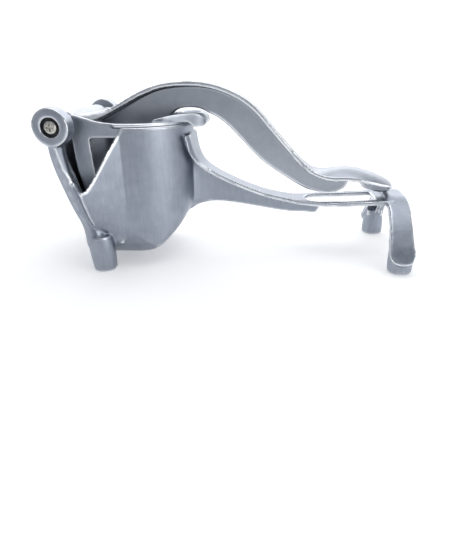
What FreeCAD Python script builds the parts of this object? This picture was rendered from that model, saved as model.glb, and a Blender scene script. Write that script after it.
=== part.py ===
import FreeCAD, Part
import os
import math

# Hand-lever fruit press, cast aluminium. Millimetres, +Z up.
# X runs from the hinge (-X) to the grip (+X), Y is across, and the origin is
# on the floor plane, at the middle of the overall length and width.

os.makedirs("parts", exist_ok=True)

# ---- driving dimensions ----------------------------------------------------
SX = 11.9             # moves the working X (0 midway between the feet) to the box centre
HX, HZ = -127.3, 100.9   # hinge axis, which runs along Y
EAR_R = 12.0          # radius of the hinge ears
EAR_OUT = 59.5        # outer face of an ear, from the middle plane
EAR_IN = 48.0         # inner face of an ear
PIN_R = 4.0           # hinge pin radius
PIN_HOLE_R = 4.05     # hole in each ear
CBORE_R = 6.1         # counterbore in each ear
CBORE_DEPTH = 4.2
BARREL_R = 8.5        # lever barrel
BARREL_HALF = 34.4    # half length of the lever barrel
BARREL_BORE_R = 4.2
BUCKET_HALF = 44.0    # outer half width of the bucket, and its end radius
BUCKET_CX = -88.5     # centre of the bucket's round end
WALL = 3.0
RIM_Z = 99.0
BEAK_TIP = 66.0       # how far the pouring beaks reach from the middle plane
BASKET_HALF = 38.5
BASKET_WALL = 2.6
FLANGE_T = 3.2        # flange of the two T-section arms
WEB_T = 5.6           # web of the lever
WEB_LOW_T = 5.0       # web of the lower handle
FOOT_Y = 46.3
LEVER_OPEN_DEG = 105.0

V = FreeCAD.Vector


def mapped(pts, plane, k):
    if plane == "XZ":
        return [V(p[0], k, p[1]) for p in pts]
    if plane == "XY":
        return [V(p[0], p[1], k) for p in pts]
    return [V(k, p[0], p[1]) for p in pts]


def wire(segs, plane, k):
    """A closed wire: each segment is a list of points, a line for two and a smooth curve for more."""
    edges = []
    for s in segs:
        p = mapped(s, plane, k)
        if len(p) == 2:
            edges.append(Part.LineSegment(p[0], p[1]).toShape())
        else:
            c = Part.BSplineCurve()
            c.interpolate(p)
            edges.append(c.toShape())
    return Part.Wire(edges)


def prism(segs, plane, a, b):
    w = wire(segs, plane, a)
    d = {"XZ": V(0, b - a, 0), "XY": V(0, 0, b - a), "YZ": V(b - a, 0, 0)}[plane]
    return Part.Face(w).extrude(d)


def poly(pts, plane, a, b):
    pts = list(pts)
    return prism([[pts[i], pts[(i + 1) % len(pts)]] for i in range(len(pts))], plane, a, b)


def cyl(r, p, d, h):
    return Part.makeCylinder(r, h, V(*p), V(*d))


def both(shape):
    """The shape and its mirror image across the middle plane."""
    return [shape, shape.mirror(V(0, 0, 0), V(0, 1, 0))]


def merged(shape):
    """Coplanar faces merged, where that leaves a sound solid."""
    try:
        s = shape.removeSplitter()
        if s.isValid() and len(s.Solids) == len(shape.Solids) and abs(s.Volume - shape.Volume) < 1e-3 * abs(shape.Volume):
            return s
    except Exception:
        pass
    return shape


def fuse(shapes):
    out = shapes[0]
    for s in shapes[1:]:
        out = out.fuse(s)
    return merged(out)


def offset_curve(pts, d):
    """Points moved by d to the right-hand side of the direction of travel."""
    out = []
    for i, p in enumerate(pts):
        a = pts[max(i - 1, 0)]
        b = pts[min(i + 1, len(pts) - 1)]
        tx, tz = b[0] - a[0], b[1] - a[1]
        n = math.hypot(tx, tz)
        out.append((p[0] + d * tz / n, p[1] - d * tx / n))
    return out


def try_fillet(shape, edges, r):
    try:
        s = shape.makeFillet(r, edges)
        if s.isValid() and s.Volume > 0:
            return s
    except Exception:
        pass
    return shape


# ---- outline of the inclined hinge wall (outer face), top to bottom -----------
WALL_OUT = [(-133.0, 91.4), (-132.0, 86.0), (-130.4, 73.0), (-127.0, 59.0), (-123.0, 45.0), (-119.6, 34.0), (-118.6, 22.0), (-118.4, 8.0)]


def wall_x(z, d=0.0):
    pts = sorted(WALL_OUT, key=lambda p: p[1])
    z = max(min(z, pts[-1][1]), pts[0][1])
    for (x0, z0), (x1, z1) in zip(pts, pts[1:]):
        if z0 <= z <= z1:
            return x0 + (x1 - x0) * (z - z0) / (z1 - z0) + d
    return pts[-1][0] + d


# ---- bucket --------------------------------------------------------------
def stadium(half, cx, x_left, z0, z1):
    n = 24
    arc = [(cx + half * math.sin(math.pi * i / n), -half * math.cos(math.pi * i / n)) for i in range(n + 1)]
    h = n // 2
    w = Part.Wire([
        Part.LineSegment(V(x_left, half, z0), V(x_left, -half, z0)).toShape(),
        Part.LineSegment(V(x_left, -half, z0), V(cx, -half, z0)).toShape(),
        Part.Arc(V(arc[0][0], arc[0][1], z0), V(arc[h][0], arc[h][1], z0), V(arc[n][0], arc[n][1], z0)).toShape(),
        Part.LineSegment(V(cx, half, z0), V(x_left, half, z0)).toShape(),
    ])
    return Part.Face(w).extrude(V(0, 0, z1 - z0))


BOTTOM = [(-116.9, 9.2), (-111.5, 7.4), (-105, 6.3), (-92, 6.0), (-80, 8.2), (-69, 13.2), (-60, 20.2), (-53, 28.2), (-48.2, 37.0), (-45.2, 47.0), (-44.3, 60.0)]


def xz_body(bottom, d_wall, top):
    left = [(wall_x(z, d_wall), z) for z in (top, 86.0, 73.0, 59.0, 45.0, 34.0, 22.0, bottom[0][1])]
    left[-1] = (bottom[0][0], bottom[0][1])
    return prism([left, bottom, [bottom[-1], (-40.0, 64.0)], [(-40.0, 64.0), (-40.0, top)], [(-40.0, top), left[0]]], "XZ", -80, 80)


def yz_rounded(half, zb, r, top):
    a = [(-half, zb + r)] + [(-half + r * (1 - math.cos(math.radians(t))), zb + r * (1 - math.sin(math.radians(t)))) for t in (15, 30, 45, 60, 75)] + [(-half + r, zb)]
    b = [(-y, z) for y, z in reversed(a)]
    return prism([a, [a[-1], b[0]], b, [b[-1], (half, top)], [(half, top), (-half, top)], [(-half, top), a[0]]], "YZ", -145, -30)


bucket_out = stadium(BUCKET_HALF, BUCKET_CX, -140, 0, RIM_Z).common(xz_body(BOTTOM, 1.5, RIM_Z))
bucket_out = bucket_out.common(yz_rounded(BUCKET_HALF, 5.0, 25.0, 110.0))
# the hinge side stops under the lever barrel
bucket_out = bucket_out.cut(Part.makeBox(30, 120, 20, V(-148.0, -60, 91.0)))

IN_BOTTOM = offset_curve(BOTTOM, -WALL)
IN_BOTTOM[0] = (wall_x(11.0, 4.0), 12.0)
IN_BOTTOM[1] = (-110.5, 10.4)
IN_BOTTOM[-1] = (-47.3, 60.0)
bucket_in = stadium(BUCKET_HALF - WALL, BUCKET_CX, -140, 0, 130).common(xz_body(IN_BOTTOM, 4.0, 130.0))
bucket_in = bucket_in.common(yz_rounded(BUCKET_HALF - WALL, 8.2, 22.0, 131.0))

# ---- pouring beaks --------------------------------------------------------
# (z, left X, crease-side X, tip X, tip |Y|) of the outer triangular sections.
BEAK = [
    (99.0, -127.3, -88.0, -112.5, 67.2),
    (75.0, -126.6, -88.0, -112.2, 66.6),
    (60.0, -122.6, -88.0, -111.6, 66.0),
    (50.0, -119.4, -88.0, -110.8, 62.6),
    (40.0, -117.0, -88.6, -110.0, 57.6),
    (30.0, -115.0, -90.0, -109.0, 51.2),
    (18.0, -114.0, -93.0, -108.0, 42.8),
]


def beak(t, zmin, inner):
    secs = []
    for z, xl, xr, xt, yt in BEAK:
        if z < zmin:
            continue
        k = max(0.0, min(1.0, (yt - 43.0) / 23.0))
        yl = 43.5 + 5.5 * k
        if inner:
            z = 108.0 if z == 99.0 else z
            pts = [(xl + 2.6, 30.0), (xl + 2.6, yl - 0.8), (xt, yt - t * 1.55), (xr - t * 0.9, 43.0 - t * 0.55), (xr - t * 0.9, 30.0)]
        else:
            pts = [(xl, 40.0), (xl, yl), (xt, yt), (xr, 43.8), (xr, 40.0)]
        secs.append(Part.makePolygon([V(x, -y, z) for x, y in pts + [pts[0]]]))
    return Part.makeLoft(secs, True, True)


beak_out = beak(0, 0, False).cut(Part.makeBox(25, 60, 10, V(-140.0, -80, 95.0)))
beak_in = beak(WALL + 0.1, 25.0, True)

NOTCH_L = [(-127.6, 104.0), (-126.3, 88.0), (-124.1, 73.8), (-120.1, 64.9), (-115.2, 61.2), (-112.0, 60.5), (-108.8, 61.3)]
NOTCH_R = [(-108.8, 61.3), (-105.3, 66.5), (-98.7, 78.5), (-90.9, 92.0), (-86.6, 99.4)]
notch = prism([NOTCH_L, NOTCH_R, [NOTCH_R[-1], (-86.6, 125.0)], [(-86.6, 125.0), (-127.6, 125.0)], [(-127.6, 125.0), NOTCH_L[0]]], "XZ", -80, -39.0)

# ---- hinge wall, posts, ears ---------------------------------------------------
wall_in = [(x + 4.0, z) for x, z in WALL_OUT]
wo = WALL_OUT
hinge_wall = prism([wo, [wo[-1], (wo[-1][0] + 6, 8.0)], [(wo[-1][0] + 6, 8.0), wall_in[-2]], list(reversed(wall_in[:-1])), [wall_in[0], wo[0]]], "XZ", -70, 70)
hinge_wall = hinge_wall.common(poly([(-55, 93), (-50.5, 60), (-47, 34), (-44, 8), (44, 8), (47, 34), (50.5, 60), (55, 93)], "YZ", -145, -100))
rib_out = offset_curve(wo[1:], 1.3)
rib_in = offset_curve(wo[1:], -2.2)
rib = prism([rib_out, [rib_out[-1], rib_in[-1]], list(reversed(rib_in)), [rib_in[0], rib_out[0]]], "XZ", -3.0, 3.0)


def circle_wire(c, r, ry=None):
    e = Part.Ellipse(V(*c), ry or r, r) if (ry or r) > r else Part.Circle(V(*c), V(0, 0, 1), r)
    return Part.Wire([e.toShape()])


def post(side):
    secs = []
    for z, dx, y, r in ((93.0, 5.0, 53.4, 5.2), (86.0, 4.4, 52.8, 5.2), (73.0, 4.2, 51.6, 5.0), (59.0, 4.2, 50.2, 5.0), (45.0, 4.4, 48.6, 5.2), (34.0, 5.6, 47.4, 6.0), (25.0, 7.6, 46.8, 7.6), (18.0, 9.4, 46.4, 9.0)):
        secs.append(circle_wire((wall_x(z) + dx, side * y, z), r))
    return Part.makeLoft(secs, True, False)


def front_foot(side):
    secs = []
    for z, x, r in ((26.0, -109.0, 8.6), (16.0, -108.4, 9.2), (7.0, -107.9, 8.8), (0.0, -107.5, 8.3)):
        secs.append(circle_wire((x, side * FOOT_Y, z), r))
    return Part.makeLoft(secs, True, False)


def ear(side):
    e = cyl(EAR_R, (HX, side * EAR_IN, HZ), (0, side, 0), EAR_OUT - EAR_IN)
    e = try_fillet(e, [x for x in e.Edges if abs(x.BoundBox.YMin - side * EAR_OUT) < 0.01 and abs(x.BoundBox.YMax - side * EAR_OUT) < 0.01], 1.1)
    e = e.cut(cyl(PIN_HOLE_R, (HX, -70, HZ), (0, 1, 0), 140))
    return e.cut(cyl(CBORE_R, (HX, side * (EAR_OUT - CBORE_DEPTH), HZ), (0, side, 0), 20))


# ---- lower handle ---------------------------------------------------------------
LOW_TOP = [(-44.6, 92.0), (-43.6, 86.0), (-41.3, 77.5), (-37.2, 70.8), (-30, 65.2), (-22, 60.8), (-10, 55.3), (6, 49.2), (14, 46.8), (22, 45.1), (30, 43.6), (38, 42.7), (50, 42.5), (74, 43.2), (90, 44.0), (107, 44.9)]
low_under = offset_curve(LOW_TOP, FLANGE_T)
low_flange = prism([LOW_TOP, [LOW_TOP[-1], low_under[-1]], list(reversed(low_under)), [low_under[0], LOW_TOP[0]]], "XZ", -30, 30)
LOW_PLAN = [(-50, 26.0), (-46, 22.0), (-43, 17.5), (-38.5, 13.0), (-30, 10.2), (-15, 8.9), (0, 8.6), (15, 9.0), (28, 10.2), (38, 13.0), (48, 16.3), (60, 18.2), (75, 18.6), (90, 19.2), (107, 19.8)]
low_flange = low_flange.common(prism([LOW_PLAN, [LOW_PLAN[-1], (107, -19.8)], [(x, -y) for x, y in reversed(LOW_PLAN)], [(-50, -26), (-50, 26)]], "XY", 20, 110))
LOW_WEB_BOTTOM = [(-47.5, 33.0), (-44, 36.0), (-37, 38.6), (-29, 39.8), (-21, 39.4), (-5.5, 37.3), (14, 34.0), (26, 32.2), (37.5, 31.4), (50.5, 31.0)]
web_top = [(x, z - 1.2) for x, z in LOW_TOP[:13]]
web_top = [(-50.0, 92.0)] + [p for p in web_top if p[0] < 38] + [(38.0, 40.6)]
low_web = prism([[(-50.0, 92.0), (-50.0, 33.0)], [(-50.0, 33.0), LOW_WEB_BOTTOM[0]], LOW_WEB_BOTTOM, [(50.5, 31.0), (53.6, 37.2)], [(53.6, 37.2), (57.0, 38.2)], [(57.0, 38.2), (44.0, 38.2)], [(44.0, 38.2), (38.0, 40.6)], [(38.0, 40.6), (22.0, 44.0)], [(22.0, 44.0), (6.0, 47.6)], [(6.0, 47.6), (-22, 59.2)], [(-22, 59.2), (-37.2, 69.0)], [(-37.2, 69.0), (-43.8, 84.0)], [(-43.8, 84.0), (-50.0, 92.0)]], "XZ", -WEB_LOW_T / 2, WEB_LOW_T / 2)


# the web thickens where it grows out of the bucket
def rect_wire(x, hy, z0, z1):
    return Part.makePolygon([V(x, -hy, z0), V(x, hy, z0), V(x, hy, z1), V(x, -hy, z1), V(x, -hy, z0)])


root_block = Part.makeLoft([rect_wire(-52, 10.5, 37.5, 80), rect_wire(-46.5, 8.0, 37.6, 80), rect_wire(-41, 5.4, 39.2, 72), rect_wire(-35, 3.6, 40.0, 66), rect_wire(-26, 2.4, 41.0, 60)], True, False)

slot = fuse([
    Part.makeBox(96 - 41 - 25.0, 25.0, 30, V(41 + 12.5, -12.5, 35)),
    cyl(12.5, (53.5, 0, 35), (0, 0, 1), 30),
    Part.makeBox(20, 25.0, 30, V(73, -12.5, 35)),
])
slot_end = Part.makeBox(30, 60, 30, V(105.0, -30, 35))

# ---- rear saddle, legs, feet -----------------------------------------------------
ARCH_OUT = [(-55.4, 6.4), (-54.3, 10.6), (-51.1, 16.2), (-45.6, 22.8), (-39.8, 29.2), (-33.6, 34.9), (-27.2, 39.7), (-20.6, 43.4), (-14.0, 45.9), (-8.0, 46.9), (0.0, 47.1)]
ARCH_OUT = ARCH_OUT + [(-y, z) for y, z in reversed(ARCH_OUT[:-1])]
ARCH_IN = [(50.3, 6.4), (49.2, 9.6), (46.1, 14.6), (41.6, 20.6), (36.3, 26.3), (30.4, 31.6), (24.3, 36.1), (18.2, 39.4), (12.2, 41.5), (6.6, 42.4), (0.0, 42.6)]
ARCH_IN = ARCH_IN + [(-y, z) for y, z in reversed(ARCH_IN[:-1])]
arch = prism([ARCH_OUT, [ARCH_OUT[-1], ARCH_IN[0]], ARCH_IN, [ARCH_IN[-1], ARCH_OUT[0]]], "YZ", 90.0, 120.0)
LEG_R = [(115.2, 52.0), (115.45, 47.0), (115.35, 40.0), (115.2, 33.0), (115.1, 26.0), (115.3, 18.0), (115.45, 13.6), (114.4, 10.2), (111.4, 8.0), (107.0, 7.2)]
LEG_L = [(107.0, 7.2), (102.6, 8.0), (99.2, 10.4), (97.7, 13.8), (98.0, 18.6), (99.0, 26.0), (99.9, 34.0), (100.2, 41.0), (99.8, 47.0), (99.4, 52.0)]
arch_side = prism([LEG_R, LEG_L, [LEG_L[-1], LEG_R[0]]], "XZ", -60, 60)
arch = arch.common(arch_side)
# a rib along the inside of each leg, a round foot, and a small ledge on the inside
leg_rib = poly([(47.5, 14.0), (39.0, 14.0), (31.0, 25.0), (21.0, 33.6), (12.0, 37.4), (12.0, 42.5), (24.0, 38.0), (39.0, 26.0)], "YZ", 105.6, 109.6)
foot_r = Part.makeLoft([circle_wire((107.2, 45.0, 0.0), 8.4), circle_wire((107.0, 44.4, 10.0), 8.5), circle_wire((106.6, 41.6, 20.0), 6.6)], True, False)
ledge = Part.makeBox(12.6, 7.5, 5.0, V(99.8, 35.6, 17.4))
rear = []
for s in (leg_rib, foot_r, ledge):
    rear += both(s)

# ---- body casting -----------------------------------------------------------------
b_add = [bucket_out] + both(beak_out) + [hinge_wall, rib]
for s in (1, -1):
    b_add += [front_foot(s)]

def flipped(shape):
    return shape.mirror(V(0, 0, 0), V(0, 1, 0))


low_flange = low_flange.cut(slot).cut(slot_end)
body = bucket_out
for s in [low_web, root_block, low_flange, arch] + rear + b_add[1:]:
    body = body.fuse(s)
for s in [bucket_in, beak_in, flipped(beak_in), notch, flipped(notch)]:
    body = body.cut(s)
for s in (1, -1):
    body = body.fuse(post(s)).fuse(ear(s))

# ---- strainer basket ------------------------------------------------------------
B_GAP = 2.9
B_LEFT = [(-122.4, 107.0), (-122.4, 96.0), (-122.2, 80.0), (-121.2, 68.0), (-118.0, 55.0), (-114.4, 43.0), (-111.5, 33.0)]
B_BOTTOM = [(-111.5, 33.0), (-107, 24.0), (-100, 18.6), (-90, 16.2), (-80, 18.0), (-71, 22.6), (-63, 29.6), (-56, 39.0), (-52.2, 50.0), (-50.4, 62.0)]
B_RIM = [(-40.0, 101.2), (-88.0, 101.2), (-97.0, 101.6), (-105.0, 102.8), (-113.0, 105.2), (-119.0, 107.0), (-122.4, 107.0)]


def basket_xz(left, bottom, rim, top_cut=None):
    return prism([left, bottom, [bottom[-1], (-40.0, 64.0)], [(-40.0, 64.0), rim[0]], [rim[0], rim[1]], rim[1:-1], [rim[-2], rim[-1]]] if rim[-1] != left[0] else [left, bottom, [bottom[-1], (-40.0, 64.0)], [(-40.0, 64.0), rim[0]], [rim[0], rim[1]], rim[1:-1], [rim[-2], left[0]]], "XZ", -70, 70)


bk_out = stadium(BASKET_HALF, BUCKET_CX, -140, 0, 130).common(basket_xz(B_LEFT, B_BOTTOM, B_RIM)).common(yz_rounded(BASKET_HALF, 14.0, 22.0, 131.0))
bl_in = [(-119.4, 130.0), (-119.4, 96.0), (-119.2, 80.0), (-118.2, 68.0), (-115.0, 55.0), (-111.4, 43.5), (-108.4, 34.0)]
bb_in = [(-108.4, 34.0), (-104.8, 26.4), (-98.8, 21.6), (-90, 19.2), (-81, 20.9), (-73, 25.0), (-65.4, 31.6), (-58.8, 40.4), (-55.0, 51.0), (-53.2, 62.0)]
bk_in = stadium(BASKET_HALF - BASKET_WALL, BUCKET_CX, -140, 0, 130).common(
    prism([bl_in, bb_in, [bb_in[-1], (-40, 64.0)], [(-40, 64.0), (-40, 130)], [(-40, 130), bl_in[0]]], "XZ", -70, 70)).common(yz_rounded(BASKET_HALF - BASKET_WALL, 17.0, 19.0, 131.0))
bk = bk_out.cut(bk_in)
# the hinge-side wall stops under the lever barrel, and only the side cheeks go on up
bk = bk.cut(Part.makeBox(14, 2 * (BASKET_HALF - BASKET_WALL), 40, V(-130, -(BASKET_HALF - BASKET_WALL), 90.5)))
# rim flange, resting on the bucket rim
rim_fl = stadium(BASKET_HALF + 4.6, BUCKET_CX, -96.0, RIM_Z, 101.3).cut(bk_in)
rim_fl = rim_fl.cut(poly([(-140, 0), (-96.5, 36), (-90, 44.5), (-90, 60), (-140, 60)], "XY", 90, 110)).cut(poly([(-140, 0), (-96.5, -36), (-90, -44.5), (-90, -60), (-140, -60)], "XY", 90, 110))
# grip tab over the handle side
TAB_TOP = [(-77.0, 100.4), (-70.0, 102.4), (-62.0, 104.2), (-52.0, 105.8), (-43.0, 106.1), (-37.0, 105.3), (-33.6, 102.6), (-33.0, 98.6)]
tab_low = offset_curve(TAB_TOP, 3.2)
tab_low[0] = (-77.0, 99.4)
tab = prism([TAB_TOP, [TAB_TOP[-1], (-34.6, 97.4)], [(-34.6, 97.4), (-38.0, 97.0), (-42.2, 97.6), (-43.9, 99.4), (-46.4, 100.4), (-54.0, 100.7), (-62.0, 100.7), (-70.0, 100.0), (-77.0, 99.4)], [(-77.0, 99.4), (-77.0, 100.4)]], "XZ", -30, 30)
tab_plan = [(-77, 33.5), (-66.0, 32.0), (-56.0, 27.0), (-46.0, 20.5), (-38.0, 17.4), (-33.6, 13.2), (-32.0, 6.0), (-32.0, -6.0), (-33.6, -13.2), (-38.0, -17.4), (-46.0, -20.5), (-56.0, -27.0), (-66.0, -32.0), (-77, -33.5)]
tab = tab.common(prism([tab_plan, [tab_plan[-1], tab_plan[0]]], "XY", 90, 120)).cut(stadium(BASKET_HALF - BASKET_WALL, BUCKET_CX, -140, 0, 130.0))
dimple = cyl(1, (0, 0, 0), (0, 0, 1), 1)
m = FreeCAD.Matrix()
m.scale(7.2, 9.5, 1.9)
dimple = dimple.transformGeometry(m)
dimple.translate(V(-44.6, 0, 105.0))
tab = tab.cut(dimple)
basket = fuse([bk, rim_fl, tab])
# side windows
WIN = [(-110.6, 92.0), (-84.0, 92.0), (-80.5, 89.0), (-80.5, 66.0), (-84.0, 56.5), (-90.0, 52.5), (-100.0, 52.5), (-106.0, 57.0), (-108.6, 66.0)]
win = poly(WIN, "XZ", -60, 60)
win = try_fillet(win, [e for e in win.Edges if abs(e.BoundBox.YLength - 120) < 0.01], 2.2)
basket = basket.cut(win)
# drain holes through the curved bottom and the round end
holes = []
for i, ang in enumerate((-146, -133, -120, -107, -94, -81, -68, -55, -42)):
    for y in (-27, -18, -9, 0, 9, 18, 27):
        yy = y + (4.5 if i % 2 else 0)
        if abs(yy) > 28:
            continue
        a = math.radians(ang)
        holes.append(cyl(1.9, (-86 + 22 * math.cos(a), yy, 60 + 22 * math.sin(a)), (math.cos(a), 0, math.sin(a)), 60))
basket = basket.cut(Part.makeCompound(holes))

# ---- lever --------------------------------------------------------------------
L_TOP = [(-121.0, 106.6), (-112.0, 107.4), (-105.0, 108.6), (-98, 111.2), (-90, 115.5), (-82, 119.5), (-74.6, 122.5), (-67, 124.8), (-60, 126.0), (-52.5, 126.6), (-45, 126.8), (-38, 126.4), (-31, 125.4), (-23.7, 123.6), (-16.6, 121.0), (-9.4, 117.6), (-2.2, 113.0), (5.2, 106.6), (12.6, 98.5), (20.2, 90.0), (28, 81.4), (35.5, 73.2), (41.0, 68.2), (46.0, 65.4), (51.6, 64.4), (59, 65.2), (70.2, 66.3), (81.5, 65.2), (93.2, 61.5), (101.2, 57.7), (104.6, 55.4), (106.5, 52.4)]
l_under = offset_curve(L_TOP, FLANGE_T)
l_under[0] = (-121.0, 99.6)
l_under[1] = (-112.0, 101.0)
l_under[2] = (-105.0, 103.8)
lev_fl = prism([L_TOP, [L_TOP[-1], l_under[-1]], list(reversed(l_under)), [l_under[0], L_TOP[0]]], "XZ", -45, 45)
L_PLAN = [(-121.0, 31.0), (-114.0, 25.5), (-106.0, 18.5), (-98.0, 14.0), (-88.0, 11.4), (-75.0, 10.2), (-60.0, 9.8), (-40.0, 9.6), (-20.0, 9.6), (0.0, 9.6), (20.0, 9.8), (34.0, 10.6), (44.0, 13.2), (54.0, 16.0), (66.0, 17.2), (78.0, 17.0), (90.0, 15.0), (100.0, 11.6), (105.0, 8.4), (106.6, 4.0)]
lev_fl = lev_fl.common(prism([L_PLAN, [(106.6, 4.0), (106.6, -4.0)], [(x, -y) for x, y in reversed(L_PLAN)], [(-121.0, -31.0), (-121.0, 31.0)]], "XY", 30, 140))
flat_part = Part.makeBox(166, 90, 150, V(-122.0, -45, 0))
lev_fl = lev_fl.common(flat_part)


def interp(pts, x):
    for (x0, y0), (x1, y1) in zip(pts, pts[1:]):
        if x0 <= x <= x1:
            return y0 + (y1 - y0) * (x - x0) / (x1 - x0)
    return pts[-1][1]


# the grip is crowned: its sides fall below the middle
grip_secs = []
for x, drop in ((38.0, 0.15), (44.0, 0.6), (48.0, 1.4), (54.0, 2.8), (61.0, 4.4), (70.0, 5.4), (80.0, 5.6), (90.0, 5.2), (97.0, 4.2), (102.0, 2.6), (105.4, 1.0)):
    w, zt = interp(L_PLAN, x), interp(L_TOP, x)
    tz = FLANGE_T * (1.25 if x < 46 else 1.08)
    top_arc = Part.Arc(V(x, -w, zt - drop), V(x, 0, zt), V(x, w, zt - drop)).toShape()
    low_arc = Part.Arc(V(x, w, zt - drop - tz * 0.8), V(x, 0, zt - tz), V(x, -w, zt - drop - tz * 0.8)).toShape()
    e1 = Part.LineSegment(V(x, w, zt - drop), V(x, w, zt - drop - tz * 0.8)).toShape()
    e2 = Part.LineSegment(V(x, -w, zt - drop - tz * 0.8), V(x, -w, zt - drop)).toShape()
    grip_secs.append(Part.Wire([top_arc, e1, low_arc, e2]))
grip = Part.makeLoft(grip_secs, True, False)
WEB_BOT = [(-32.3, 105.2), (-27.9, 103.2), (-20.6, 98.4), (-13.2, 91.5), (-2, 79.9), (7.2, 71.1), (17.3, 64.0), (29, 56.7), (37, 52.1), (45, 48.6), (51, 47.2), (57.4, 46.6), (64.3, 47.3), (69.0, 49.3), (72.2, 52.2)]
web_up = [(x, z - 1.0) for x, z in L_TOP if -112 < x < 104]
lev_web = prism([
    [(-112.0, 106.0), (-112.0, 97.0)], [(-112.0, 97.0), (-104.0, 82.0)], [(-104.0, 82.0), (-96.0, 62.0)], [(-96.0, 62.0), (-66.0, 62.0)],
    [(-66.0, 62.0), (-64.0, 92.0)], [(-64.0, 92.0), (-61.0, 102.0), (-55.0, 107.6), (-47.0, 109.0), (-39.5, 108.4), (-32.3, 105.2)],
    WEB_BOT, [(72.2, 52.2), (73.6, 56.0), (77.0, 58.6), (80.6, 57.6), (82.4, 54.4)], [(82.4, 54.4), (84.5, 50.6)], [(84.5, 50.6), (90.0, 48.6), (98.0, 47.4), (104.4, 47.6)],
    [(104.4, 47.6), (106.3, 52.4)], [(106.3, 52.4), (103.0, 55.2)],
    [(103.0, 55.2), (93.2, 60.2), (81.5, 64.0), (70.2, 65.1), (59, 64.0), (51.6, 63.2), (46.0, 64.2), (41.0, 67.0), (35.5, 72.0), (28, 80.2), (12.6, 97.2), (-2.2, 111.6), (-16.6, 119.8), (-31, 124.2), (-45, 125.6), (-60, 124.8), (-74.6, 121.3), (-90, 114.3), (-105.0, 107.6), (-112.0, 106.0)],
], "XZ", -WEB_T / 2, WEB_T / 2)
barrel = cyl(BARREL_R, (HX, -BARREL_HALF, HZ), (0, 1, 0), 2 * BARREL_HALF)
barrel = try_fillet(barrel, [e for e in barrel.Edges if e.BoundBox.YLength < 0.01], 0.8)
lever = fuse([lev_fl, grip, lev_web, barrel])
# mounting pad for the press head
pad = Part.makeBox(30, 20, 4.0, V(-96.0, -10, 62.0))
lever = lever.fuse(pad)
lever = merged(lever.cut(cyl(BARREL_BORE_R, (HX, -60, HZ), (0, 1, 0), 120)))

# ---- press head -----------------------------------------------------------------
# A dished block that follows the lever round the hinge axis, so its end face is
# turned to the arc it swings through.
HEAD_Z0, HEAD_Z1 = 42.0, 62.0
half_h = 34.0


def reach(y):
    return (BUCKET_CX - HX) + math.sqrt(max(35.9 ** 2 - y * y, 0.0)) - 1.6


ys = [half_h * (-1 + 2 * i / 16.0) for i in range(17)]
arc_pts = [V(HX + reach(y), y, HZ) for y in ys]
c = Part.BSplineCurve()
c.interpolate(arc_pts)
sector = Part.Face(Part.Wire([c.toShape(), Part.LineSegment(arc_pts[-1], V(HX + 16, half_h, HZ)).toShape(), Part.LineSegment(V(HX + 16, half_h, HZ), V(HX + 16, -half_h, HZ)).toShape(), Part.LineSegment(V(HX + 16, -half_h, HZ), arc_pts[0]).toShape()]))
swung = sector.revolve(V(HX, 0, HZ), V(0, 1, 0), 95)
head_xz = prism([[(-109.5, 62.0), (-106.0, 50.0)], [(-106.0, 50.0), (-101.0, 44.0), (-94.0, 41.2), (-84.0, 43.6), (-76.0, 49.0), (-70.5, 56.0), (-68.2, 62.0)], [(-68.2, 62.0), (-109.5, 62.0)]], "XZ", -40, 40)
head = head_xz.common(swung)
head = head.common(yz_rounded(half_h, 38.0, 12.0, 131.0))
head_holes = [cyl(2.15, (x, 0, 30), (0, 0, 1), 40) for x in (-91.5, -76.5)]
pocket = []
for x in (-91.5, -76.5):
    pocket.append(cyl(4.3, (x, 0, 30), (0, 0, 1), 23.0))
head = head.cut(Part.makeCompound(head_holes)).cut(Part.makeCompound(pocket))
lever = lever.cut(Part.makeCompound([cyl(1.98, (x, 0, 55), (0, 0, 1), 15.0) for x in (-91.5, -76.5)]))


def pan_screw(base, d, shank_r, shank_l, head_r, head_h):
    """Pan-head screw with a cross recess: base is where the head meets the seat, d points from the seat out through the head."""
    dv = V(*d)
    b = V(*base)
    hd = Part.makeCylinder(head_r, head_h, b, dv)
    hd = try_fillet(hd, [e for e in hd.Edges if abs((e.CenterOfMass - b).dot(dv) - head_h) < 0.01], head_h * 0.55)
    sh = Part.makeCylinder(shank_r, shank_l, b - dv * shank_l, dv)
    s = merged(hd.fuse(sh))
    u = V(1, 0, 0) if abs(dv.x) < 0.5 else V(0, 1, 0)
    w = dv.cross(u)
    for a, bb in ((u, w), (w, u)):
        bx = Part.makeBox(head_r * 1.15, head_r * 0.24, head_h * 0.62)
        mm = FreeCAD.Matrix(a.x, bb.x, dv.x, 0, a.y, bb.y, dv.y, 0, a.z, bb.z, dv.z, 0, 0, 0, 0, 1)
        bx.translate(V(-head_r * 0.575, -head_r * 0.12, 0))
        if mm.determinant() < 0:
            mm = FreeCAD.Matrix(a.x, -bb.x, dv.x, 0, a.y, -bb.y, dv.y, 0, a.z, -bb.z, dv.z, 0, 0, 0, 0, 1)
        bx = bx.transformGeometry(mm)
        bx.translate(b + dv * (head_h * 0.42))
        s = s.cut(bx)
    return s


screws = [pan_screw((x, 0, 52.9), (0, 0, -1), 1.94, 12.0, 3.6, 2.4) for x in (-91.5, -76.5)]

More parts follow.
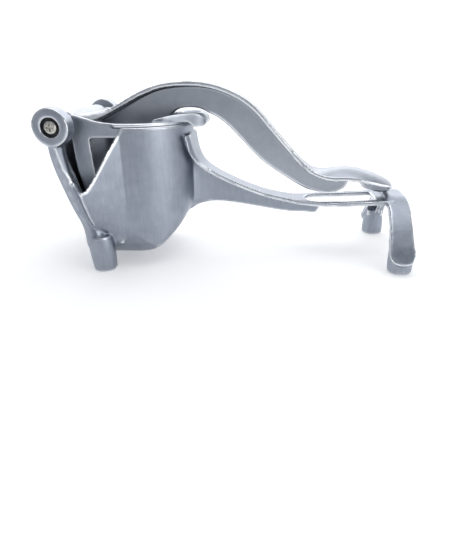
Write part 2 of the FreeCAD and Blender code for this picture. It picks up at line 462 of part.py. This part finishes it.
# ---- hinge pin and its screws ------------------------------------------------------
PIN_HALF = EAR_OUT - CBORE_DEPTH - 0.2
pin = cyl(PIN_R, (HX, -PIN_HALF, HZ), (0, 1, 0), 2 * PIN_HALF)
for s in (1, -1):
    pin = pin.cut(cyl(1.7, (HX, s * (PIN_HALF - 12.0), HZ), (0, s, 0), 20))
washers, hinge_screws = {}, {}
for name, s in (("near", -1), ("far", 1)):
    y0 = s * (EAR_OUT - CBORE_DEPTH)
    wsh = cyl(5.8, (HX, y0, HZ), (0, s, 0), 1.0).cut(cyl(2.0, (HX, y0 - s, HZ), (0, s, 0), 4))
    washers[name] = wsh
    hinge_screws[name] = pan_screw((HX, y0 + s * 1.0, HZ), (0, s, 0), 1.66, 11.0, 4.25, 2.7)

# ---- output ---------------------------------------------------------------------
NODES = {
    "body_casting": body,
    "strainer_basket": basket,
    "lever_casting": lever,
    "press_head": head,
    "press_head_screws": Part.makeCompound(screws),
    "hinge_pin": pin,
    "hinge_screw_near": hinge_screws["near"],
    "hinge_screw_far": hinge_screws["far"],
    "hinge_washer_near": washers["near"],
    "hinge_washer_far": washers["far"],
}
for name, shape in NODES.items():
    s = shape.copy()
    s.translate(V(SX, 0, 0))
    bb = s.BoundBox
    print(name, "solids", len(s.Solids), "valid", s.isValid(), "vol cm3 %.2f" % (s.Volume / 1000), "x %.1f..%.1f y %.1f..%.1f z %.1f..%.1f" % (bb.XMin, bb.XMax, bb.YMin, bb.YMax, bb.ZMin, bb.ZMax))
    s.exportStep("parts/" + name + ".step")
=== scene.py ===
import bpy
import bmesh
import math
import numpy as np
from mathutils import Matrix, Vector


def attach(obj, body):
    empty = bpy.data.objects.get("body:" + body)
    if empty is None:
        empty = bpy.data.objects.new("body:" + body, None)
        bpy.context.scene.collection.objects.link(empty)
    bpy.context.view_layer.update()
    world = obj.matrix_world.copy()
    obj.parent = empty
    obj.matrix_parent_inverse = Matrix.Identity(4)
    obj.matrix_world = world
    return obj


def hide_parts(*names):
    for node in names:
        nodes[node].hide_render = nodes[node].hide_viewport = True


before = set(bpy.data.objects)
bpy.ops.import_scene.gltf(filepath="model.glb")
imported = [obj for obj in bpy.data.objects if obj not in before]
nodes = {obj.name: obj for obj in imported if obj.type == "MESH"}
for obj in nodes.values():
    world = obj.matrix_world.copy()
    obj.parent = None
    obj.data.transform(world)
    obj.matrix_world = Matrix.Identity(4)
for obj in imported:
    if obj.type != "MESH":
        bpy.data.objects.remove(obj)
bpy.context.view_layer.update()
SX = 0.0119          # the working frame's X zero, in the row frame


# ---------------------------------------------------------------- camera
def make_camera():
    f, pitch, yaw, roll = 450.0, math.radians(24.4), math.radians(-3.3), math.radians(-0.5)
    d = Vector((math.sin(yaw) * math.cos(pitch), math.cos(yaw) * math.cos(pitch), -math.sin(pitch)))
    r = Vector((math.cos(yaw), -math.sin(yaw), 0.0))
    u = r.cross(d)
    r2 = r * math.cos(roll) + u * math.sin(roll)
    u2 = -r * math.sin(roll) + u * math.cos(roll)
    data = bpy.data.cameras.new("view")
    data.sensor_fit = "AUTO"
    data.sensor_width = 36.0
    data.lens = f * 36.0 / 556.0
    data.clip_start, data.clip_end = 0.01, 50.0
    data.dof.use_dof = False
    cam = bpy.data.objects.new("view", data)
    bpy.context.scene.collection.objects.link(cam)
    m = Matrix.Identity(4)
    for i in range(3):
        m[i][0], m[i][1], m[i][2] = r2[i], u2[i], -d[i]
    m[0][3], m[1][3], m[2][3] = 0.006 + SX, -0.350, 0.131
    cam.matrix_world = m
    bpy.context.scene.camera = cam


make_camera()


# ---------------------------------------------------------------- node helpers
def nt_new(name):
    mat = bpy.data.materials.new(name)
    mat.use_nodes = True
    nt = mat.node_tree
    nt.nodes.clear()
    return mat, nt


def link(nt, a, b):
    nt.links.new(a, b)


def noise(nt, vec, scale, detail=4.0, rough=0.55, dist=0.0):
    n = nt.nodes.new("ShaderNodeTexNoise")
    n.inputs["Scale"].default_value = scale
    n.inputs["Detail"].default_value = detail
    n.inputs["Roughness"].default_value = rough
    n.inputs["Distortion"].default_value = dist
    link(nt, vec, n.inputs["Vector"])
    return n.outputs["Fac"]


def remap(nt, v, a, b, c, d):
    n = nt.nodes.new("ShaderNodeMapRange")
    n.clamp = True
    for k, x in zip(("From Min", "From Max", "To Min", "To Max"), (a, b, c, d)):
        n.inputs[k].default_value = x
    link(nt, v, n.inputs["Value"])
    return n.outputs["Result"]


def math_node(nt, op, a, b=None):
    n = nt.nodes.new("ShaderNodeMath")
    n.operation = op
    for i, v in enumerate((a, b)):
        if v is None:
            continue
        if isinstance(v, (int, float)):
            n.inputs[i].default_value = v
        else:
            link(nt, v, n.inputs[i])
    return n.outputs[0]


def mix_color(nt, fac, a, b, blend="MIX"):
    n = nt.nodes.new("ShaderNodeMix")
    n.data_type = "RGBA"
    n.blend_type = blend
    for sock, v in (("Factor", fac),):
        if isinstance(v, (int, float)):
            n.inputs[0].default_value = v
        else:
            link(nt, v, n.inputs[0])
    for idx, v in ((6, a), (7, b)):
        if isinstance(v, tuple):
            n.inputs[idx].default_value = v
        else:
            link(nt, v, n.inputs[idx])
    return n.outputs[2]


def coords(nt, scale=(1, 1, 1)):
    tc = nt.nodes.new("ShaderNodeTexCoord")
    mp = nt.nodes.new("ShaderNodeMapping")
    mp.inputs["Scale"].default_value = scale
    link(nt, tc.outputs["Object"], mp.inputs["Vector"])
    return mp.outputs["Vector"]


def cast_material(name, base=(0.385, 0.415, 0.47), dark=(0.235, 0.26, 0.31), rough=(0.30, 0.44), grain=1.0, streak=(1, 1, 0.10)):
    """Tumbled, satin cast aluminium: cloudy tone, soft vertical streaks, fine sand grain, edges rubbed bright,
    painted highlights on up-facing rims, painted shade in hollows.
    """
    mat, nt = nt_new(name)
    out = nt.nodes.new("ShaderNodeOutputMaterial")
    bs = nt.nodes.new("ShaderNodeBsdfPrincipled")
    link(nt, bs.outputs[0], out.inputs["Surface"])
    bs.inputs["Metallic"].default_value = 1.0
    bs.inputs["Specular IOR Level"].default_value = 0.5
    v = coords(nt)
    vs = coords(nt, streak)
    cloud = noise(nt, v, 38.0, 5.0, 0.6, 0.4)
    patch = noise(nt, v, 130.0, 4.0, 0.6, 0.2)
    lines = noise(nt, vs, 520.0, 3.0, 0.6)
    pits = noise(nt, v, 1500.0, 2.0, 0.55)
    at = nt.nodes.new("ShaderNodeAttribute")
    at.attribute_name = "rubbed_and_highlight"
    wear_and_highlight = remap(nt, at.outputs["Fac"], 0.0, 1.0, 0.0, 1.0)
    hol = nt.nodes.new("ShaderNodeAttribute")
    hol.attribute_name = "hollow"
    hollow_shade = remap(nt, hol.outputs["Fac"], 0.0, 1.0, 0.0, 1.0)
    tone = math_node(nt, "ADD", math_node(nt, "MULTIPLY", remap(nt, cloud, 0.32, 0.68, 0.0, 1.0), 0.45), math_node(nt, "MULTIPLY", remap(nt, patch, 0.3, 0.7, 0.0, 1.0), 0.25))
    tone = math_node(nt, "ADD", tone, math_node(nt, "MULTIPLY", remap(nt, lines, 0.3, 0.7, 0.0, 1.0), 0.30))
    col = mix_color(nt, tone, tuple(dark) + (1,), tuple(base) + (1,))
    # painted shade: concave hollows darkened toward a dark blue-grey and made a little rougher
    col = mix_color(nt, math_node(nt, "MULTIPLY", hollow_shade, 0.38), col, (0.13, 0.14, 0.165, 1))
    # convex edges lightened as worn metal, together with painted highlights on up-facing rims and along the notch lip
    col = mix_color(nt, math_node(nt, "MULTIPLY", wear_and_highlight, 0.85), col, (0.88, 0.895, 0.92, 1))
    link(nt, col, bs.inputs["Base Color"])
    r = math_node(nt, "ADD", remap(nt, cloud, 0.3, 0.7, rough[0], rough[1]), math_node(nt, "MULTIPLY", remap(nt, lines, 0.3, 0.7, -0.5, 0.5), 0.10))
    r = math_node(nt, "ADD", r, math_node(nt, "MULTIPLY", wear_and_highlight, -0.12))
    r = math_node(nt, "ADD", r, math_node(nt, "MULTIPLY", hollow_shade, 0.12))
    link(nt, r, bs.inputs["Roughness"])
    h = math_node(nt, "ADD", math_node(nt, "MULTIPLY", pits, 0.55), math_node(nt, "MULTIPLY", lines, 0.30))
    h = math_node(nt, "ADD", h, math_node(nt, "MULTIPLY", patch, 1.3))
    bump = nt.nodes.new("ShaderNodeBump")
    bump.inputs["Strength"].default_value = 0.30 * grain
    bump.inputs["Distance"].default_value = 0.00035
    link(nt, h, bump.inputs["Height"])
    link(nt, bump.outputs["Normal"], bs.inputs["Normal"])
    return mat


def steel_material(name, base, dark, rough=(0.25, 0.45), metallic=1.0):
    mat, nt = nt_new(name)
    out = nt.nodes.new("ShaderNodeOutputMaterial")
    bs = nt.nodes.new("ShaderNodeBsdfPrincipled")
    link(nt, bs.outputs[0], out.inputs["Surface"])
    bs.inputs["Metallic"].default_value = metallic
    v = coords(nt)
    a = noise(nt, v, 420.0, 4.0, 0.6)
    b = noise(nt, v, 2600.0, 2.0, 0.5)
    col = mix_color(nt, remap(nt, a, 0.35, 0.65, 0.0, 1.0), tuple(dark) + (1,), tuple(base) + (1,))
    link(nt, col, bs.inputs["Base Color"])
    link(nt, remap(nt, a, 0.3, 0.7, rough[0], rough[1]), bs.inputs["Roughness"])
    bump = nt.nodes.new("ShaderNodeBump")
    bump.inputs["Strength"].default_value = 0.2
    bump.inputs["Distance"].default_value = 0.0001
    link(nt, b, bump.inputs["Height"])
    link(nt, bump.outputs["Normal"], bs.inputs["Normal"])
    return mat


ALU = cast_material("cast_body")
ALU_LEVER = cast_material("cast_lever", base=(0.45, 0.475, 0.52), dark=(0.30, 0.32, 0.36), streak=(0.12, 1, 0.25))
ALU_BASKET = cast_material("cast_basket", base=(0.42, 0.45, 0.50), dark=(0.29, 0.315, 0.36), rough=(0.36, 0.5))
STEEL = steel_material("plated_screw", (0.68, 0.66, 0.60), (0.42, 0.40, 0.36))
PIN = steel_material("ground_pin", (0.72, 0.73, 0.74), (0.55, 0.56, 0.58), (0.22, 0.34))
# near-black washer: partly the washer's own dark finish, partly painted shade for the dark ring in the counterbore
WASHER = steel_material("dark_washer", (0.035, 0.037, 0.042), (0.012, 0.013, 0.016), (0.5, 0.7), 0.0)


# ---------------------------------------------------------------- castings
def cast_piece(node, name, voxel, smooth, material, body, soft=(), rim_highlight=(), lip_highlight=(), edge=0.00007):
    """The casting itself: the solid's own shape, remade as one even skin with the soft corners that a casting has."""
    src = nodes[node]
    me = src.data.copy()
    ob = bpy.data.objects.new(name, me)
    bpy.context.scene.collection.objects.link(ob)
    bm = bmesh.new()
    bm.from_mesh(me)
    bmesh.ops.remove_doubles(bm, verts=bm.verts, dist=1e-6)
    bm.to_mesh(me)
    bm.free()
    me.materials.clear()
    mod = ob.modifiers.new("skin", "REMESH")
    mod.mode = "VOXEL"
    mod.voxel_size = voxel
    mod.use_smooth_shade = True
    dg = bpy.context.evaluated_depsgraph_get()
    done = bpy.data.meshes.new_from_object(ob.evaluated_get(dg))
    ob.modifiers.clear()
    ob.data = done
    bpy.data.meshes.remove(me)
    n = len(done.vertices)
    co = np.empty(n * 3)
    done.vertices.foreach_get("co", co)
    co = co.reshape(-1, 3)
    ed = np.empty(len(done.edges) * 2, np.int64)
    done.edges.foreach_get("vertices", ed)
    ed = ed.reshape(-1, 2)
    deg = np.bincount(ed.ravel(), minlength=n).astype(float)[:, None]
    deg[deg == 0] = 1

    def avg(x):
        s = np.zeros_like(x)
        for k in range(x.shape[1]):
            s[:, k] = np.bincount(ed[:, 0], weights=x[ed[:, 1], k], minlength=n) + np.bincount(ed[:, 1], weights=x[ed[:, 0], k], minlength=n)
        return s / deg

    for _ in range(smooth):          # smooth and push back, so walls keep their thickness
        co = co + 0.55 * (avg(co) - co)
        co = co - 0.40 * (avg(co) - co)
    for (cx, cy, cz), (rx, ry, rz), turns in soft:      # corners blended by hand in the pattern
        q = np.sqrt(((co[:, 0] - cx) / rx) ** 2 + ((np.abs(co[:, 1]) - cy) / ry) ** 2 + ((co[:, 2] - cz) / rz) ** 2)
        k = np.clip((1.0 - q) / 0.45, 0, 1)[:, None]
        for _ in range(turns):
            co = co + 0.6 * k * (avg(co) - co)
    done.vertices.foreach_set("co", co.ravel())
    done.update()
    nor = np.empty(n * 3)
    done.vertices.foreach_get("normal", nor)
    nor = nor.reshape(-1, 3)
    big = co
    steps = max(3, int(round(6 * (0.0008 / voxel) ** 2)))
    for _ in range(steps):
        big = big + 0.6 * (avg(big) - big)
    conv = ((co - big) * nor).sum(1)
    c1 = conv[:, None]
    for _ in range(2):
        c1 = c1 + 0.5 * (avg(c1) - c1)
    conv = c1[:, 0]
    wear_and_highlight = np.clip((conv - edge) / 0.00022, 0, 1)
    for x0, x1, y0, y1, z0, z1 in rim_highlight:              # painted highlight: up-facing faces cut square through the wall, lightened where the light falls on them
        ay = np.abs(co[:, 1])
        zone = (co[:, 0] > x0) & (co[:, 0] < x1) & (ay > y0) & (ay < y1) & (co[:, 2] > z0) & (co[:, 2] < z1)
        k = np.clip((0.62 - np.abs(nor[:, 1])) / 0.2, 0, 1) * np.clip((nor[:, 2] - 0.1) / 0.15, 0, 1)
        wear_and_highlight = np.maximum(wear_and_highlight, np.where(zone, k, 0.0))
    for pts, y0, wide in lip_highlight:                          # painted highlight: a bright band that follows an edge seen from the side
        d = np.full(n, 1.0)
        for (xa, za), (xb, zb) in zip(pts, pts[1:]):
            ax, az, bx, bz = co[:, 0] - xa, co[:, 2] - za, xb - xa, zb - za
            t = np.clip((ax * bx + az * bz) / (bx * bx + bz * bz), 0, 1)
            d = np.minimum(d, np.hypot(ax - t * bx, az - t * bz))
        k = np.clip((wide - d) / 0.0006, 0, 1) * (np.abs(co[:, 1]) > y0) * (co[:, 2] < 0.0995)
        wear_and_highlight = np.maximum(wear_and_highlight, 0.95 * k)
    # edge wear and painted highlight, stored as one attribute
    wear_and_highlight = wear_and_highlight.astype(np.float32)
    # painted shade mask: how concave each point is
    hol = np.clip((-conv - 0.00010) / 0.0005, 0, 1).astype(np.float32)
    print(name, "rub mean", float(wear_and_highlight.mean()), "hollow mean", float(hol.mean()))
    done.attributes.new("rubbed_and_highlight", "FLOAT", "POINT").data.foreach_set("value", wear_and_highlight)
    done.attributes.new("hollow", "FLOAT", "POINT").data.foreach_set("value", hol)
    done.materials.append(material)
    done.polygons.foreach_set("use_smooth", [True] * len(done.polygons))
    done.polygons.foreach_set("material_index", [0] * len(done.polygons))
    done.name = name
    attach(ob, body)
    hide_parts(node)
    print(name, "faces", len(done.polygons))
    return ob


VOX = 0.0008
turns = 70
# the pouring notch, hinge side first, as X and Z
NOTCH = [(-0.1144, 0.0880), (-0.1122, 0.0738), (-0.1082, 0.0649), (-0.1033, 0.0612), (-0.1001, 0.0605), (-0.0969, 0.0613), (-0.0934, 0.0665), (-0.0868, 0.0785), (-0.0790, 0.0920), (-0.0747, 0.0994)]
SOFT_BODY = (((-0.0330, 0.0300, 0.0280), (0.034, 0.034, 0.026), turns),)
# painted highlights: up-facing rim faces around the pouring notch, and a bright band along the notch edge
cast_piece("body_casting", "body", VOX, 5, ALU, "base", SOFT_BODY,
           rim_highlight=((-0.1160, -0.0700, 0.0425, 0.0700, 0.0300, 0.1000),), lip_highlight=((NOTCH[2:], 0.0425, 0.0023), (NOTCH[:3], 0.0425, 0.0008)))
cast_piece("strainer_basket", "basket", VOX * 0.9, 4, ALU_BASKET, "base")
cast_piece("lever_casting", "lever", VOX * 0.9, 5, ALU_LEVER, "lever", edge=0.00004)
cast_piece("press_head", "head", VOX, 4, ALU_BASKET, "lever")


def dress(node, material):
    ob = nodes[node]
    ob.data.materials.clear()
    ob.data.materials.append(material)
    for p in ob.data.polygons:
        p.material_index = 0


for n in ("press_head_screws", "hinge_screw_near", "hinge_screw_far"):
    dress(n, STEEL)
dress("hinge_pin", PIN)
for n in ("hinge_washer_near", "hinge_washer_far"):
    dress(n, WASHER)


# ---------------------------------------------------------------- floor, light
def floor():
    me = bpy.data.meshes.new("floor")
    ob = bpy.data.objects.new("floor", me)
    bpy.context.scene.collection.objects.link(ob)
    bm = bmesh.new()
    pts = []
    for y, z in [(-4.0, 0.0), (1.2, 0.0)] + [(1.2 + 0.8 * math.sin(t), 0.8 * (1 - math.cos(t))) for t in [math.radians(a) for a in range(10, 91, 10)]] + [(2.0, 3.5)]:
        pts.append((y, z))
    rows = [[bm.verts.new((x, y, z)) for x in (-4.0, 4.0)] for y, z in pts]
    for a, b in zip(rows, rows[1:]):
        bm.faces.new((a[0], a[1], b[1], b[0]))
    bm.to_mesh(me)
    bm.free()
    for p in me.polygons:
        p.use_smooth = True
    mat, nt = nt_new("pale_floor")
    out = nt.nodes.new("ShaderNodeOutputMaterial")
    bs = nt.nodes.new("ShaderNodeBsdfPrincipled")
    link(nt, bs.outputs[0], out.inputs["Surface"])
    v = coords(nt)
    col = mix_color(nt, remap(nt, noise(nt, v, 6.0, 3.0), 0.3, 0.7, 0.0, 1.0), (0.86, 0.86, 0.865, 1), (0.89, 0.89, 0.89, 1))
    link(nt, col, bs.inputs["Base Color"])
    bs.inputs["Roughness"].default_value = 0.9
    bs.inputs["Specular IOR Level"].default_value = 0.1
    # painted light: the floor glows white, more strongly towards the back sweep, so it stays pale and throws fill
    # light onto the casting
    bs.inputs["Emission Color"].default_value = (1.0, 1.0, 1.0, 1)
    sep = nt.nodes.new("ShaderNodeSeparateXYZ")
    link(nt, v, sep.inputs[0])
    link(nt, remap(nt, sep.outputs["Y"], 0.1, 1.3, 0.30, 0.62), bs.inputs["Emission Strength"])
    me.materials.append(mat)


floor()


def area(name, loc, target, size, power, color=(1, 1, 1)):
    li = bpy.data.lights.new(name, "AREA")
    li.shape = "RECTANGLE"
    li.size, li.size_y = size
    li.energy = power
    li.color = color
    ob = bpy.data.objects.new(name, li)
    bpy.context.scene.collection.objects.link(ob)
    ob.location = loc
    d = Vector(target) - Vector(loc)
    ob.rotation_euler = d.to_track_quat("-Z", "Y").to_euler()
    return ob


area("top_soft", (0.05, 0.10, 0.95), (0, 0, 0.05), (1.1, 0.9), 4.5, (1.0, 1.0, 1.0))
area("left_soft", (-0.95, -0.35, 0.55), (-0.02, 0, 0.06), (0.7, 0.7), 0.35, (0.96, 0.98, 1.0))
area("right_soft", (0.85, -0.55, 0.30), (0.03, 0, 0.06), (0.7, 0.6), 2.8, (1.0, 0.99, 0.97))
area("back_rim", (0.1, 0.9, 0.5), (0, 0, 0.08), (1.4, 0.35), 2.2, (1, 1, 1))

w = bpy.data.worlds.new("soft_room")
bpy.context.scene.world = w
w.use_nodes = True
nt = w.node_tree
nt.nodes.clear()
out = nt.nodes.new("ShaderNodeOutputWorld")
bg = nt.nodes.new("ShaderNodeBackground")
bg.inputs["Color"].default_value = (0.62, 0.66, 0.72, 1)
bg.inputs["Strength"].default_value = 0.55
link(nt, bg.outputs[0], out.inputs["Surface"])
bpy.context.scene.view_settings.view_transform = "Standard"

bpy.context.view_layer.update()
